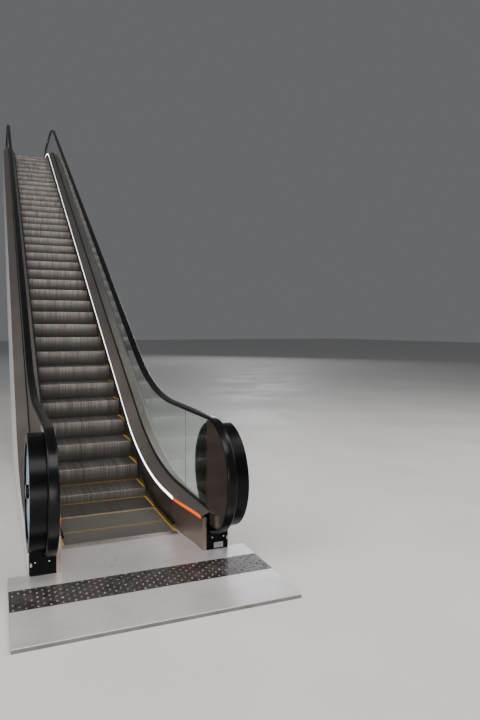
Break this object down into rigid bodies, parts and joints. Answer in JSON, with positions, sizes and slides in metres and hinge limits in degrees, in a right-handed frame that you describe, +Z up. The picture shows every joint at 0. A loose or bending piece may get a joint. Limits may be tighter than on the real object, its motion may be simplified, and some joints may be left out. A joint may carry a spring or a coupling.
{
  "type": "escalator",
  "caption": "Indoor escalator with clear glass balustrades, black handrails, cleated metal steps, lit skirts and a level landing at each end.",
  "frame": {"origin": "underside of the base frame, on the centre line below the lower comb line", "axes": "+X across to the right for a rider going up, +Y up the flight in plan, +Z up"},
  "size_m": [1.89, 18.7084, 8.28],
  "materials": {
    "frame_steel": "dark grey paint, satin",
    "floor_plate": "ribbed stainless steel",
    "tactile": "studded black plastic",
    "comb": "cast aluminium comb",
    "steps": "die-cast aluminium, cleated",
    "skirt": "dark low-friction coating",
    "brush": "black rubber base with bristles",
    "light_white": "lit white diffuser",
    "light_orange": "lit orange diffuser",
    "stainless": "brushed stainless steel",
    "glass_clamp": "black clamp and rubber",
    "glass": "clear toughened glass",
    "rail_guide": "extruded aluminium",
    "handrail": "smooth black rubber",
    "newel_cover": "dark brown gloss",
    "newel_drum": "black gloss",
    "newel_wheel": "pale blue disc with soft sectors",
    "inlet": "black moulded box",
    "cladding": "pale grey paint, satin"
  },
  "bodies": {
    "structure": {"lower_base_frame": "frame_steel", "lower_floor_plate_front": "floor_plate", "tactile_strip": "tactile", "lower_floor_plate_rear": "floor_plate", "lower_comb_plate": "floor_plate", "lower_comb": "comb", "steps_lower": "steps", "steps_incline_1": "steps", "steps_incline_2": "steps", "steps_incline_3": "steps", "steps_incline_4": "steps", "steps_upper": "steps", "step_rails": "frame_steel", "truss_sides": "frame_steel", "cross_beams": "frame_steel", "skirt_left": "skirt", "skirt_right": "skirt", "skirt_brushes": "brush", "skirt_lights": "light_white", "direction_lights": "light_orange", "newel_base_left": "stainless", "newel_base_right": "stainless", "inner_deck_left": "stainless", "inner_deck_right": "stainless", "glass_feet": "glass_clamp", "glass_left": "glass", "glass_right": "glass", "handrail_guides": "rail_guide", "handrail_left": "handrail", "handrail_right": "handrail", "newel_covers": "newel_cover", "newel_drum_left": "newel_drum", "newel_drum_right": "newel_drum", "handrail_inlets_lower": "inlet", "handrail_inlets_upper": "inlet", "outer_decks": "stainless", "side_cladding_left": "cladding", "side_cladding_right": "cladding", "soffit": "cladding", "upper_comb_plate": "floor_plate", "upper_comb": "comb", "upper_floor_plate": "floor_plate", "upper_bearing_bracket": "frame_steel"},
    "left_newel_wheel": {"newel_wheel_left": "newel_wheel"},
    "right_newel_wheel": {"newel_wheel_right": "newel_wheel"}
  },
  "joints": [
    {"name": "left_newel_wheel_spin", "type": "hinge", "parent": "structure", "child": "left_newel_wheel", "pos_m": [-0.79, -0.52, 0.65], "axis": [1, 0, 0], "continuous": true},
    {"name": "right_newel_wheel_spin", "type": "hinge", "parent": "structure", "child": "right_newel_wheel", "pos_m": [0.79, -0.52, 0.65], "axis": [1, 0, 0], "continuous": true}
  ]
}
